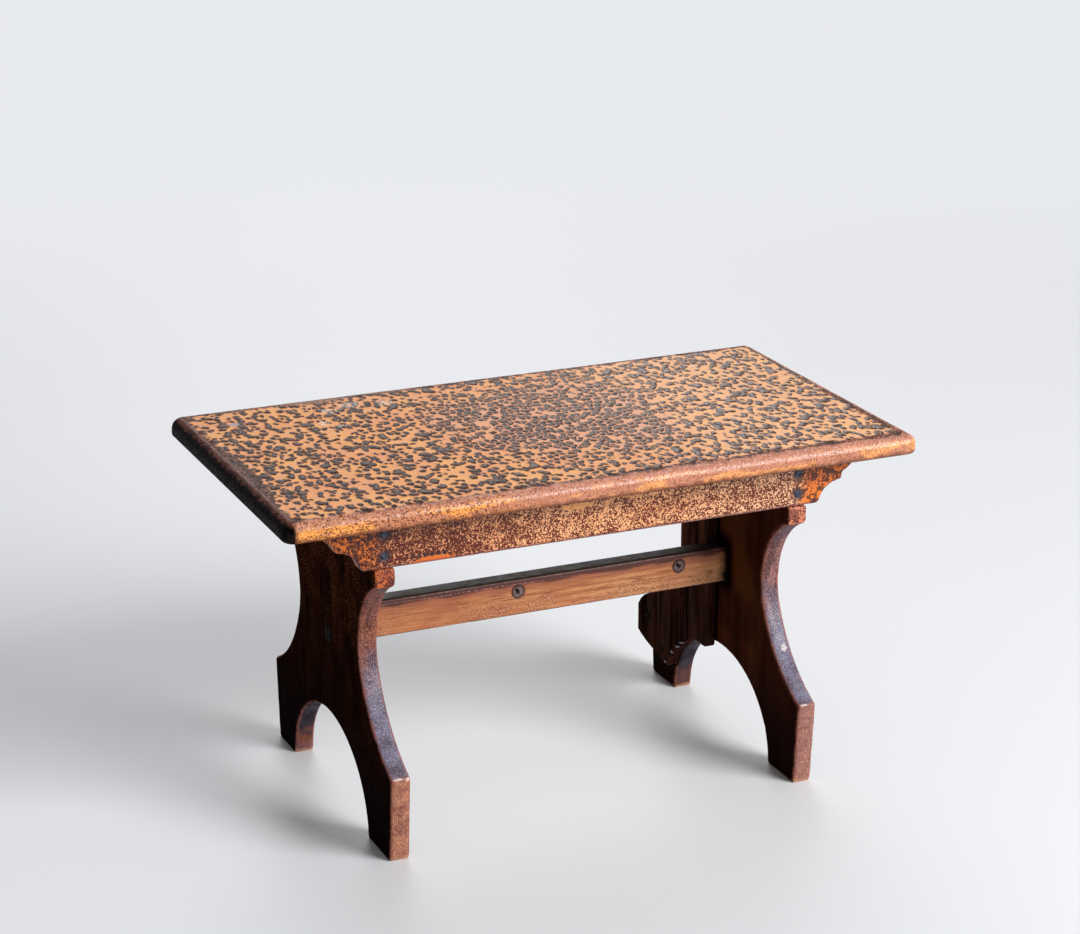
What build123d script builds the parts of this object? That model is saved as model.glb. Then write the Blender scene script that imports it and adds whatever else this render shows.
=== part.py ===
from build123d import *
import os

os.makedirs("parts", exist_ok=True)

# Footstool of thin boards, in millimetres.
# +X runs along the seat, the front faces -Y, +Z is up.
# The origin is on the floor, under the middle of the seat.

# Whole stool
stool_height = 219.5
board_thickness = 13.0
joint_clearance = 0.1
overrun = 2.0

# Seat board
top_length = 400.0
top_depth = 219.0
top_thickness = 13.0
top_corner_radius = 8.0
nose_upper_radius = 7.9
nose_lower_radius = 3.5

# Trestle ends, set in from the seat board's ends and sides
trestle_end_inset = 61.3
neck_side_inset = 26.6
neck_height = 11.5
waist_hollow = 31.4
waist_height = 115.6
waist_radius = 37.0
waist_turn = 22.0
foot_outset = 19.6
foot_height = 53.0
toe_taper = 4.0
foot_width = 38.2
arch_height = 54.4
left_arch_shift = 3.0
trestle_arris = 1.3

# Aprons
apron_thickness = 12.0
apron_height = 31.9
apron_end_inset = 29.0
apron_end_rake = 24.0
apron_lip = 6.0
apron_ovolo_width = 8.0
apron_ovolo_height = 7.8
apron_ovolo_bulge = 1.2
apron_fillet_step = 0.8
apron_fillet_height = 5.2
apron_cavetto_hollow = 3.2
apron_corner_cut = 1.5
apron_arris = 0.8

# Stretcher
stretcher_bottom = 100.7
stretcher_height = 23.7
stretcher_arris = 0.9
housing_depth = 4.0

# Old plug holes in the stretcher's front face
plug_radius = 4.0
plug_depth = 7.0
plug_pit_radius = 1.1
plug_pit_depth = 1.6
plug_pit_offset = 1.3
plug_height = 15.4
left_plug_reach = 17.5
right_plug_reach = 92.0

# Mending board on the right trestle
mending_thickness = 8.0
mending_top_gap = 4.0
mending_waist_inset = 8.0
mending_waist_bottom = 98.0
mending_hollow = 4.0
mending_shoulder_inset = 12.5
mending_shoulder_height = 60.0
mending_rear_overhang = 3.5
mending_rear_top = 47.0
mending_rear_bottom = 29.0
mending_heel_inset = 11.5
mending_heel_height = 24.5
mending_toe_angle = 20.0
mending_ledge_angle = 73.0
mending_rear_bulge = 1.6
mending_score_width = 1.8
mending_score_depth = 1.3
mending_score_pitch = 24.0
mending_score_first = 8.0
mending_score_count = 3

# Glue blocks under the seat
block_length = 42.0
block_leg = 14.0
block_cut = 9.0
block_spread = 130.0

# Apron nails
apron_nail_head_radius = 2.9
apron_nail_head_thickness = 1.2
apron_nail_shank = 2.4
apron_nail_length = 32.0
apron_nail_low = 7.7
apron_nail_high = 20.7

# Stretcher screws
screw_head_radius = 5.0
screw_head_depth = 3.2
screw_shank_radius = 2.2
screw_tip_length = 6.0
screw_length = 36.0
screw_slot_width = 1.3
screw_slot_depth = 1.3
screw_rise = 5.3

# Mending nails
mending_nail_head_radius = 2.4
mending_nail_head_thickness = 1.0
mending_nail_shank = 2.0
mending_nail_length = 17.0
mending_nail_inset = 9.0
mending_toe_nail_inset = 4.7
mending_toe_nail_height = 28.0

# A forged nail's head has flats, and its point follows its shank's width
nail_head_sides = 8
nail_point_length_share = 3.0
nail_point_width_share = 0.2

# Sizes that follow from the ones above
half_length = top_length / 2
half_depth = top_depth / 2
underside = stool_height - top_thickness
apron_bottom = underside - apron_height
neck_bottom = apron_bottom - neck_height
trestle_outer = half_length - trestle_end_inset
trestle_inner = trestle_outer - board_thickness
trestle_middle = (trestle_outer + trestle_inner) / 2
neck_half_width = half_depth - neck_side_inset
notch_face = neck_half_width - apron_thickness
waist_half_width = neck_half_width - waist_hollow
foot_half_width = neck_half_width + foot_outset
toe_half_width = foot_half_width - toe_taper
arch_half_width = foot_half_width - foot_width
stretcher_top = stretcher_bottom + stretcher_height
stretcher_half_thickness = board_thickness / 2
stretcher_end = trestle_inner + housing_depth
screw_height = stretcher_bottom + screw_rise
mending_waist = waist_half_width - mending_waist_inset
mending_shoulder = foot_half_width - mending_shoulder_inset
mending_rear = foot_half_width + mending_rear_overhang
mending_heel = foot_half_width - mending_heel_inset


def mirrored_outline(half):
    """A closed face from the right half of an outline and its mirror image."""
    right = Curve() + half
    return make_face(right + mirror(right, about=Plane.YZ))


def fastener_place(point, direction):
    """Where a fastener goes: its head at the point, its shank along the direction."""
    return Plane(origin=point, z_dir=direction)


def nail_shape(head_radius, head_thickness, shank, length, spare=0):
    """A forged nail along +Z, its hammered head's top at the origin, or the hole for it."""
    straight = length - shank * nail_point_length_share
    width = shank + 2 * spare
    tip = width * nail_point_width_share
    head = extrude(RegularPolygon(head_radius + spare, nail_head_sides), amount=head_thickness)
    stem = extrude(Rectangle(width, width), amount=straight)
    point = loft([
        Pos(0, 0, straight) * Rectangle(width, width),
        Pos(0, 0, length + spare) * Rectangle(tip, tip),
    ])
    return head + stem + point


def screw_shape(spare=0):
    """A countersunk wood screw along +Z, its head's top at the origin, or the hole for it."""
    head = screw_head_radius + spare
    shank = screw_shank_radius + spare
    profile = Polyline(
        (0, 0),
        (head, 0),
        (shank, screw_head_depth),
        (shank, screw_length - screw_tip_length),
        (0, screw_length + spare),
        close=True,
    )
    return revolve(Plane.XZ * make_face(profile), Axis.Z)


def apron_nail_places(side):
    """The two nails at each joint of one apron, side -1 for the front and 1 for the rear."""
    places = []
    for end in (-1, 1):
        for height in (apron_nail_low, apron_nail_high):
            point = (end * trestle_middle, side * neck_half_width, apron_bottom + height)
            places.append(fastener_place(point, (0, -side, 0)))
    return places


def screw_place(end):
    """The screw through one trestle into the stretcher."""
    return fastener_place((end * trestle_outer, 0, screw_height), (-end, 0, 0))


def mending_nail_places():
    """Four nails along the mending board, from its neck down to its heel."""
    face = trestle_inner - mending_thickness
    neck = (mending_waist + stretcher_half_thickness) / 2
    spots = [
        (neck, underside - mending_top_gap - mending_nail_inset),
        (neck, mending_waist_bottom - mending_nail_inset),
        (mending_rear - 2 * mending_nail_inset, mending_rear_top - mending_nail_inset / 2),
        (arch_half_width + mending_toe_nail_inset, mending_toe_nail_height),
    ]
    return [fastener_place((face, y, z), (1, 0, 0)) for y, z in spots]


def plug_places():
    """The two plugs in the stretcher's front face."""
    height = stretcher_bottom + plug_height
    reaches = (-left_plug_reach, right_plug_reach)
    return [fastener_place((x, -stretcher_half_thickness, height), (0, 1, 0)) for x in reaches]


def apron_nail_holes(side):
    shape = nail_shape(apron_nail_head_radius, apron_nail_head_thickness, apron_nail_shank,
                       apron_nail_length, joint_clearance)
    return [place * shape for place in apron_nail_places(side)]


def mending_nail_holes():
    shape = nail_shape(mending_nail_head_radius, mending_nail_head_thickness, mending_nail_shank,
                       mending_nail_length, joint_clearance)
    return [place * shape for place in mending_nail_places()]


def top_board():
    """The seat: one board, its corners rounded in plan, its edge worked to a nose."""
    board = extrude(Rectangle(top_length, top_depth), amount=top_thickness)
    board = fillet(board.edges().filter_by(Axis.Z), top_corner_radius)
    board = fillet(board.faces().sort_by(Axis.Z)[-1].edges(), nose_upper_radius)
    board = fillet(board.faces().sort_by(Axis.Z)[0].edges(), nose_lower_radius)
    return Pos(0, 0, underside) * board


def trestle_outline():
    """The end board seen from the side: foot, hollow side, neck block and apron notch."""
    foot_corner = (foot_half_width, foot_height)
    waist = (waist_half_width, waist_height)
    toe = Polyline((0, 0), (toe_half_width, 0), foot_corner)
    turn = JernArc(waist, (0, -1), waist_radius, waist_turn)
    slope = TangentArc(turn @ 1, foot_corner, tangent=turn % 1)
    hollow = TangentArc(waist, (neck_half_width, neck_bottom), tangent=(0, 1))
    neck = Polyline(
        (neck_half_width, neck_bottom),
        (neck_half_width, apron_bottom),
        (notch_face, apron_bottom),
        (notch_face, underside),
        (0, underside),
    )
    return mirrored_outline([toe, turn, slope, hollow, neck])


def trestle(end):
    """One end board, with its worn arrises, stretcher housing and fixing holes."""
    start = -trestle_outer if end < 0 else trestle_inner
    shift = left_arch_shift if end < 0 else 0
    side = trestle_outline() - Pos(shift, 0) * Ellipse(arch_half_width, arch_height)
    board = extrude(Plane.YZ.offset(start) * side, amount=board_thickness)
    rims = board.faces().sort_by(Axis.X)
    rim_edges = rims[0].edges() + rims[-1].edges()
    worn = [edge for edge in rim_edges if 0 < edge.center().Z < neck_bottom]
    board = chamfer(worn, trestle_arris)
    housing = Box(
        housing_depth + joint_clearance + overrun,
        board_thickness + 2 * joint_clearance,
        stretcher_height + 2 * joint_clearance,
    )
    housing_middle = end * (trestle_inner + (housing_depth + joint_clearance - overrun) / 2)
    board -= Pos(housing_middle, 0, (stretcher_bottom + stretcher_top) / 2) * housing
    board -= screw_place(end) * screw_shape(joint_clearance)
    for side in (-1, 1):
        board -= apron_nail_holes(side)
    if end > 0:
        board -= mending_nail_holes()
    return board


def apron_outline():
    """An apron seen from the front, its ends worked to a lip, a bulge, a step and a hollow."""
    top_half = half_length - apron_end_inset
    bottom_half = top_half - apron_end_rake
    lip_bottom = apron_height - apron_lip
    fillet_top = lip_bottom - apron_ovolo_height
    fillet_bottom = fillet_top - apron_fillet_height
    fillet_half = top_half - apron_ovolo_width - apron_fillet_step
    lip = Polyline((0, apron_height), (top_half, apron_height), (top_half, lip_bottom))
    bulge = SagittaArc(
        (top_half, lip_bottom),
        (fillet_half + apron_fillet_step, fillet_top),
        apron_ovolo_bulge,
    )
    step = Polyline(
        (fillet_half + apron_fillet_step, fillet_top),
        (fillet_half, fillet_top),
        (fillet_half, fillet_bottom + apron_corner_cut),
        (fillet_half - apron_corner_cut, fillet_bottom),
    )
    hollow = SagittaArc(
        (fillet_half - apron_corner_cut, fillet_bottom),
        (bottom_half, apron_corner_cut),
        -apron_cavetto_hollow,
    )
    foot = Polyline((bottom_half, apron_corner_cut), (bottom_half - apron_corner_cut, 0), (0, 0))
    return mirrored_outline([lip, bulge, step, hollow, foot])


def apron(side):
    """One long rail in the trestles' notches, flush with the neck blocks."""
    rear_face = -notch_face if side < 0 else neck_half_width
    rail = extrude(Plane.XZ * apron_outline(), amount=apron_thickness)
    rail = Pos(0, rear_face, apron_bottom) * rail
    rail = chamfer(rail.edges().filter_by(Axis.X).group_by(Axis.Z)[0], apron_arris)
    return rail - apron_nail_holes(side)


def stretcher():
    """The rail between the trestles, its ends let into their housings."""
    rail = Box(2 * stretcher_end, board_thickness, stretcher_height)
    rail = chamfer(rail.edges().filter_by(Axis.X), stretcher_arris)
    rail = Pos(0, 0, (stretcher_bottom + stretcher_top) / 2) * rail
    hole = extrude(Circle(plug_radius + joint_clearance), amount=plug_depth)
    rail -= [place * hole for place in plug_places()]
    rail -= [screw_place(end) * screw_shape(joint_clearance) for end in (-1, 1)]
    return rail


def stretcher_plugs():
    """Two round plugs in old holes, each with a small pit beside its middle."""
    plug = extrude(Circle(plug_radius), amount=plug_depth)
    pit = Cone(plug_pit_radius, plug_pit_radius / 2, plug_pit_depth)
    plug -= Pos(plug_pit_offset, -plug_pit_offset, plug_pit_depth / 2) * pit
    return [place * plug for place in plug_places()]


def mending_outline():
    """The repair board from the side: it follows the arch, then the heel, then up to the neck."""
    front = stretcher_half_thickness + joint_clearance
    sweep = mending_ledge_angle - mending_toe_angle
    arch = EllipticalCenterArc((0, 0), arch_half_width, arch_height, mending_toe_angle, arc_size=sweep)
    ledge = arch @ 1
    top = underside - mending_top_gap
    heel = Polyline(
        arch @ 0,
        (mending_heel, mending_heel_height),
        (mending_rear, mending_rear_bottom),
        (mending_rear, mending_rear_top),
    )
    shoulder = SagittaArc(
        (mending_rear, mending_rear_top),
        (mending_shoulder, mending_shoulder_height),
        -mending_rear_bulge,
    )
    hollow = SagittaArc(
        (mending_waist, mending_waist_bottom),
        (mending_shoulder, mending_shoulder_height),
        -mending_hollow,
    )
    neck = Polyline(
        (mending_waist, mending_waist_bottom),
        (mending_waist, top),
        (front, top),
        (front, ledge.Y),
        ledge,
    )
    return make_face([arch, heel, shoulder, hollow, neck])


def mending_board():
    """A rough board nailed to the right trestle, behind the stretcher, with scored grain."""
    face = trestle_inner - mending_thickness
    board = extrude(Plane.YZ.offset(face) * mending_outline(), amount=mending_thickness)
    groove = Box(2 * mending_score_depth, mending_score_width, 2 * stool_height)
    first = stretcher_half_thickness + mending_score_first
    for number in range(mending_score_count):
        board -= Pos(face, first + number * mending_score_pitch, 0) * groove
    return board - mending_nail_holes()


def apron_nails():
    """Two nails at each of the four joints of apron and trestle."""
    shape = nail_shape(apron_nail_head_radius, apron_nail_head_thickness, apron_nail_shank,
                       apron_nail_length)
    return [place * shape for side in (-1, 1) for place in apron_nail_places(side)]


def stretcher_screws():
    """One slotted screw through each trestle, its slot level."""
    slot = Box(2 * screw_head_radius, screw_slot_width, 2 * screw_slot_depth)
    shape = screw_shape() - slot
    return [screw_place(end) * shape for end in (-1, 1)]


def mending_nails():
    """Nails through the repair board into the trestle."""
    shape = nail_shape(mending_nail_head_radius, mending_nail_head_thickness,
                       mending_nail_shank, mending_nail_length)
    return [place * shape for place in mending_nail_places()]


def glue_blocks():
    """Four blocks in the corners between the aprons and the seat, their free corner cut off."""
    rest = block_leg - block_cut
    profile = Polyline(
        (0, 0),
        (-block_leg, 0),
        (-block_leg, -rest),
        (-rest, -block_leg),
        (0, -block_leg),
        close=True,
    )
    block = extrude(Plane.YZ.offset(-block_length / 2) * make_face(profile), amount=block_length)
    rear = [Pos(end * block_spread / 2, notch_face, underside) * block for end in (-1, 1)]
    return rear + [mirror(block, about=Plane.XZ) for block in rear]


def save(name, solids):
    """Writes one node: a single solid, or a group of like solids."""
    solids = solids if isinstance(solids, list) else [solids]
    shape = solids[0] if len(solids) == 1 else Compound(children=solids)
    shape.label = name
    export_step(shape, os.path.join("parts", name + ".step"))


save("top_board", top_board())
save("front_apron", apron(-1))
save("rear_apron", apron(1))
save("left_trestle", trestle(-1))
save("right_trestle", trestle(1))
save("stretcher", stretcher())
save("stretcher_plugs", stretcher_plugs())
save("mending_board", mending_board())
save("apron_nails", apron_nails())
save("stretcher_screws", stretcher_screws())
save("mending_nails", mending_nails())
save("glue_blocks", glue_blocks())
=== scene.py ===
import math

import bpy
import bmesh
import numpy as np
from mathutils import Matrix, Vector


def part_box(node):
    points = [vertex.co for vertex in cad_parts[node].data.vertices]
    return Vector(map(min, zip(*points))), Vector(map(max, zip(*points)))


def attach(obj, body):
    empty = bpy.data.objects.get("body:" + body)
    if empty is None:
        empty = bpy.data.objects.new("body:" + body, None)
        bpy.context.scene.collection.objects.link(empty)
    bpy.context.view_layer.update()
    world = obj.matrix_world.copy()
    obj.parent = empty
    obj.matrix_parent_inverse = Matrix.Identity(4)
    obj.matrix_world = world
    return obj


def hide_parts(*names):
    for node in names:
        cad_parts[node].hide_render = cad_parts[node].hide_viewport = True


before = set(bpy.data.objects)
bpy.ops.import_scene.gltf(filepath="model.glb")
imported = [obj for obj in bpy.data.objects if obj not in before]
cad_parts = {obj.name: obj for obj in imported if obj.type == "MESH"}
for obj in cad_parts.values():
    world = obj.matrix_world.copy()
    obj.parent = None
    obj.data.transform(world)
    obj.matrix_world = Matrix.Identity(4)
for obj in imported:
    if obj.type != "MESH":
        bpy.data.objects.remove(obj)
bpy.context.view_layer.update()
mm = 0.001


# Trestle ends
# Two sawn boards, dark stained and varnished, their hollows cut with a bow saw and their
# arrises worn round by hands and feet. The varnish has crackled fine and shows red where it is thin.

class Value:
    """What a node gives: a number, a vector or a colour. A sum written with values lays its own nodes."""

    def __init__(self, socket):
        self.socket = socket
        self.tree = socket.id_data

    def out(self, name):
        """What the same node gives under another name."""
        return Value(self.socket.node.outputs[name])

    def __add__(self, other):
        return calc("ADD", self, other)

    def __sub__(self, other):
        return calc("SUBTRACT", self, other)

    def __rsub__(self, other):
        return calc("SUBTRACT", other, self)

    def __mul__(self, other):
        return calc("MULTIPLY", self, other)

    def __truediv__(self, other):
        return calc("DIVIDE", self, other)

    def __rtruediv__(self, other):
        return calc("DIVIDE", other, self)

    def __abs__(self):
        return calc("ABSOLUTE", self)


def feed(socket, value):
    """Links a value to a socket, or sets the socket to a plain number or colour."""
    if isinstance(value, Value):
        value.tree.links.new(value.socket, socket)
    elif value is not None:
        socket.default_value = value


def lay(kind, *feeds, tree=None, **words):
    """Lays one node, in the tree that its feeds come from or in the one named, and gives its first output.

    Feeds go to its sockets in order. A word with a capital feeds the socket of that name, any other
    word is a setting of the node.
    """
    tree = tree or next(value.tree for value in (*feeds, *words.values()) if isinstance(value, Value))
    node = tree.nodes.new(kind)
    for word, value in words.items():
        if word[0].islower():
            setattr(node, word, value)
    fed = list(zip([socket for socket in node.inputs if socket.enabled], feeds))
    fed += [(node.inputs[word.replace("_", " ")], value) for word, value in words.items()
            if word[0].isupper()]
    for socket, value in fed:
        feed(socket, value)
    return Value(next(socket for socket in node.outputs if socket.enabled))


def outputs(value):
    """All that a value's node gives, by name."""
    return {socket.name: Value(socket) for socket in value.socket.node.outputs}


def calc(operation, *feeds):
    """One step of a sum, of numbers or of vectors. With a vector, a plain number counts for all its axes."""
    kinds = [value.socket.type if isinstance(value, Value) else type(value) for value in feeds]
    if not {"VECTOR", "RGBA", tuple} & set(kinds):
        return lay("ShaderNodeMath", *feeds, operation=operation)
    feeds = [(value,) * 3 if isinstance(value, (int, float)) else value for value in feeds]
    return lay("ShaderNodeVectorMath", *feeds, operation=operation)


def most(first, second):
    return calc("MAXIMUM", first, second)


def least(first, second):
    return calc("MINIMUM", first, second)


def length(away):
    return calc("LENGTH", away).out("Value")


def dot(first, second):
    return calc("DOT_PRODUCT", first, second).out("Value")


def parts(source):
    """The X, Y and Z of a vector, or the red, green and blue of a colour."""
    return outputs(lay("ShaderNodeSeparateXYZ", source))


def ramp(value, low, high, bottom=0, top=1):
    """A soft step: bottom where the value is at low, top where it is at high."""
    return lay("ShaderNodeMapRange", value, low, high, bottom, top, interpolation_type="SMOOTHSTEP")


def paint(red, green, blue):
    """A colour as read off a colour chart, 0 to 255, turned into the renderer's linear scale."""
    return tuple((part / 255) ** 2.2 for part in (red, green, blue)) + (1.0,)


def tint(share, first, second):
    """The first colour turned towards the second. Each is a value, or three numbers off a colour chart."""
    colours = [colour if isinstance(colour, Value) else paint(*colour) for colour in (first, second)]
    return lay("ShaderNodeMix", share, *colours, data_type="RGBA")


def noise(place, size, detail=3, roughness=0.5):
    """Soft noise whose lumps are about the given size in millimetres."""
    return lay("ShaderNodeTexNoise", Vector=place, Scale=1 / size, Detail=detail, Roughness=roughness)


def astray(place, scale, reach, detail=2):
    """The place moved about at random by up to half the reach, so that straight borders wander."""
    bend = lay("ShaderNodeTexNoise", Vector=place, Scale=scale, Detail=detail).out("Color")
    return place + (bend - (0.5, 0.5, 0.5)) * reach


def millimetres(place):
    return place * (1 / mm)


def facing(place):
    """The way that the surface faces."""
    return parts(lay("ShaderNodeNewGeometry", tree=place.tree).out("Normal"))


def new_group(name, kind, takes, gives):
    """Starts a node group with its named inputs and outputs, and gives its two ends."""
    sockets = {float: "NodeSocketFloat", int: "NodeSocketInt", tuple: "NodeSocketVector",
               str: "NodeSocketGeometry", type(None): "NodeSocketMaterial"}
    tree = bpy.data.node_groups.new(name, kind)
    for label, value in takes.items():
        socket = tree.interface.new_socket(label, in_out="INPUT", socket_type=sockets[type(value)])
        if isinstance(value, (float, int, tuple)):
            socket.default_value = value
    for label, value in gives.items():
        tree.interface.new_socket(label, in_out="OUTPUT", socket_type=sockets[type(value)])
    given = {socket.name: Value(socket) for socket in tree.nodes.new("NodeGroupInput").outputs}
    return tree, given, tree.nodes.new("NodeGroupOutput").inputs


def use(group, place, **words):
    """Lays a node group with its own values, and gives its outputs by name."""
    kind = place.tree.bl_idname.replace("NodeTree", "NodeGroup")
    return outputs(lay(kind, node_tree=group, Place=place, **words))


def crackle_group():
    """Fine crackle: how far from the nearest crack a point lies, in millimetres, and each cell's chance."""
    takes = {"Place": (0.0, 0.0, 0.0), "Cell": 2.0, "Wander": 1.0}
    tree, given, made = new_group("fine_crackle", "ShaderNodeTree", takes, {"Inside": 0.0, "Chance": 0.0})
    scale = 1 / given["Cell"]
    place = astray(given["Place"], scale, given["Cell"] * given["Wander"])
    edge = lay("ShaderNodeTexVoronoi", Vector=place, Scale=scale, feature="DISTANCE_TO_EDGE")
    cell = lay("ShaderNodeTexVoronoi", Vector=place, Scale=scale).out("Color")
    feed(made["Inside"], edge * given["Cell"])
    feed(made["Chance"], parts(cell)["X"])
    return tree


def maze_group():
    """Varnish drawn up into a dark maze, or into single drops where it is dotted."""
    takes = {"Place": (0.0, 0.0, 0.0), "Pitch": 1.7, "Dotted": 0.0, "Cover": 0.5}
    tree, given, made = new_group("drawn_up_varnish", "ShaderNodeTree", takes, {"Dark": 0.0, "Chance": 0.0})
    scale = 1 / given["Pitch"]
    maze = lay("ShaderNodeTexNoise", Vector=given["Place"], Scale=scale, Detail=0, Distortion=0.7)
    maze = maze + (given["Cover"] * 0.4 - 0.7)
    drop = lay("ShaderNodeTexVoronoi", Vector=astray(given["Place"], scale, 0.8), Randomness=0.9,
               Scale=scale * 0.42)
    chance = parts(drop.out("Color"))
    drop = (chance["Y"] * 0.24 + 0.2 - drop) * 0.4
    body = lay("ShaderNodeMix", given["Dotted"], maze, drop)
    feed(made["Dark"], ramp(body, -0.03, 0.03))
    feed(made["Chance"], chance["X"])
    return tree


def grain_group():
    """Wood grain: broad streaks and short dark pores, drawn out along the board."""
    takes = {"Place": (0.0, 0.0, 0.0), "Stretch": (0.04, 1.0, 1.0)}
    tree, given, made = new_group("wood_grain", "ShaderNodeTree", takes, {"Streaks": 0.0, "Pores": 0.0})
    place = given["Place"] * given["Stretch"]
    feed(made["Streaks"], noise(place, 2.2, 6, 0.62))
    feed(made["Pores"], ramp(noise(place, 0.42, 2), 0.6, 0.72))
    return tree


def wear_group():
    """Where an arris is worn through, with ragged borders, and where a hollow corner is darker: dirt and
    painted shade.
    """
    takes = {"Place": (0.0, 0.0, 0.0), "Reach": 0.25, "Ragged": 0.2}
    tree, given, made = new_group("worn_arrises", "ShaderNodeTree", takes, {"Worn": 0.0, "Dirt": 0.0})
    arris = lay("ShaderNodeAttribute", attribute_name="arris", tree=tree).out("Fac")
    ragged = (noise(given["Place"], 4, 5, 0.65) - 0.5) * given["Ragged"]
    feed(made["Worn"], ramp(ragged + arris, given["Reach"] * 0.6, given["Reach"]))
    feed(made["Dirt"], ramp(arris, -0.05, -0.3))
    return tree


def spot_group():
    """One ragged patch: 1 inside it and 0 outside. Its size is its half width along each axis."""
    takes = {"Place": (0.0, 0.0, 0.0), "Middle": (0.0, 0.0, 0.0), "Size": (5.0, 5.0, 5.0), "Ragged": 0.6}
    tree, given, made = new_group("ragged_spot", "ShaderNodeTree", takes, {"Share": 0.0})
    reach = length((given["Place"] - given["Middle"]) / given["Size"])
    ragged = (noise(given["Place"], 2.6, 4, 0.6) - 0.5) * (given["Ragged"] * 2)
    feed(made["Share"], ramp(ragged + reach, 1.1, 0.9))
    return tree


fine_crackle = crackle_group()
drawn_up_varnish = maze_group()
wood_grain = grain_group()
worn_arrises = wear_group()
ragged_spot = spot_group()


def beyond(place, node):
    """How far a point lies outside a CAD piece's box, in millimetres."""
    low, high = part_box(node)
    away = abs(place - tuple((low + high) / 2 / mm)) - tuple((high - low) / 2 / mm)
    return length(most(away, (0, 0, 0)))


def spots(place, marks, ragged=0.6):
    """Several ragged patches in one, each mark being a middle and a size."""
    share = 0
    for middle, size in marks:
        share = most(share, use(ragged_spot, place, Middle=middle, Size=size, Ragged=ragged)["Share"])
    return share


def handwork_tree():
    """Takes the machine look off a piece: notes its arrises, softens them and lets its faces swell."""
    takes = {"Geometry": "", "Soften": 0.5, "Swell": 0.2, "Swell Size": 40.0, "Dents": 0.1}
    tree, given, made = new_group("handwork", "GeometryNodeTree", takes, {"Geometry": ""})
    place = lay("GeometryNodeInputPosition", tree=tree)
    normal = lay("GeometryNodeInputNormal", tree=tree)
    around = lay("GeometryNodeBlurAttribute", data_type="FLOAT_VECTOR", Value=place, Iterations=6)
    lift = dot(place - around, normal) / mm
    noted = lay("GeometryNodeStoreNamedAttribute", data_type="FLOAT", domain="POINT",
                Geometry=given["Geometry"], Name="arris", Value=lift)
    in_mm = millimetres(place)
    swell = (noise(in_mm, given["Swell Size"], 2) - 0.75) * given["Swell"]
    dents = ramp(noise(in_mm, 7, 2), 0.62, 0.8) * given["Dents"]
    worn = most(lift, 0) * given["Soften"]
    offset = normal * ((swell - dents - worn) * mm)
    feed(made["Geometry"], lay("GeometryNodeSetPosition", Geometry=noted, Offset=offset))
    return tree


handwork = handwork_tree()


def add_tree(obj, tree, **words):
    """Puts a geometry tree on an object and sets its inputs by the names that they have in the tree."""
    modifier = obj.modifiers.new(tree.name, "NODES")
    modifier.node_group = tree
    for item in tree.interface.items_tree:
        word = item.name.lower().replace(" ", "_")
        if item.in_out == "INPUT" and word in words:
            modifier[item.identifier] = words[word]


def taken_in(obj):
    """Turns an object and its modifiers into one plain mesh with smooth shading."""
    graph = bpy.context.evaluated_depsgraph_get()
    graph.update()
    mesh = bpy.data.meshes.new_from_object(obj.evaluated_get(graph), preserve_all_data_layers=True,
                                           depsgraph=graph)
    obj.modifiers.clear()
    obj.data = mesh
    mesh.polygons.foreach_set("use_smooth", [True] * len(mesh.polygons))
    return obj


def new_piece(name, mesh):
    obj = bpy.data.objects.new(name, mesh)
    bpy.context.scene.collection.objects.link(obj)
    return obj


def closed_copy(node, name):
    """A copy of a CAD piece with its loose triangles joined."""
    obj = new_piece(name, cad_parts[node].data.copy())
    work = bmesh.new()
    work.from_mesh(obj.data)
    bmesh.ops.remove_doubles(work, verts=work.verts, dist=mm / 100)
    work.to_mesh(obj.data)
    work.free()
    return obj


def worked_board(node, name, mesh_size, **words):
    """A board as it left the bench and wore since: one closed skin over the CAD piece's shape."""
    obj = closed_copy(node, name)
    skin = obj.modifiers.new("skin", "REMESH")
    skin.mode = "VOXEL"
    skin.voxel_size = mesh_size
    soft = obj.modifiers.new("soft", "SMOOTH")
    soft.factor = 0.5
    soft.iterations = 2
    add_tree(obj, handwork, **words)
    return taken_in(obj)


def finish_piece(obj, node, material):
    """Gives a piece its finish and its place in the stool, instead of the CAD node."""
    obj.data.materials.clear()
    obj.data.materials.append(material)
    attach(obj, "root")
    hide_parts(node)


def new_material(name):
    """A new material, and the place on the piece in millimetres, for its looks to be laid out by."""
    material = bpy.data.materials.new(name)
    material.use_nodes = True
    return material, millimetres(lay("ShaderNodeTexCoord", tree=material.node_tree).out("Object"))


def shaded(material, height=None, depth=0, specular=0, **words):
    """Feeds a material's shader by its sockets' names, and a height of 0 to 1 as relief of that depth."""
    if height:
        words["Normal"] = lay("ShaderNodeBump", Strength=1, Distance=depth, Height=height)
    shader = material.node_tree.nodes["Principled BSDF"].inputs
    for word, value in {"Specular IOR Level": specular, **words}.items():
        feed(shader[word.replace("_", " ")], value)
    return material


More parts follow.
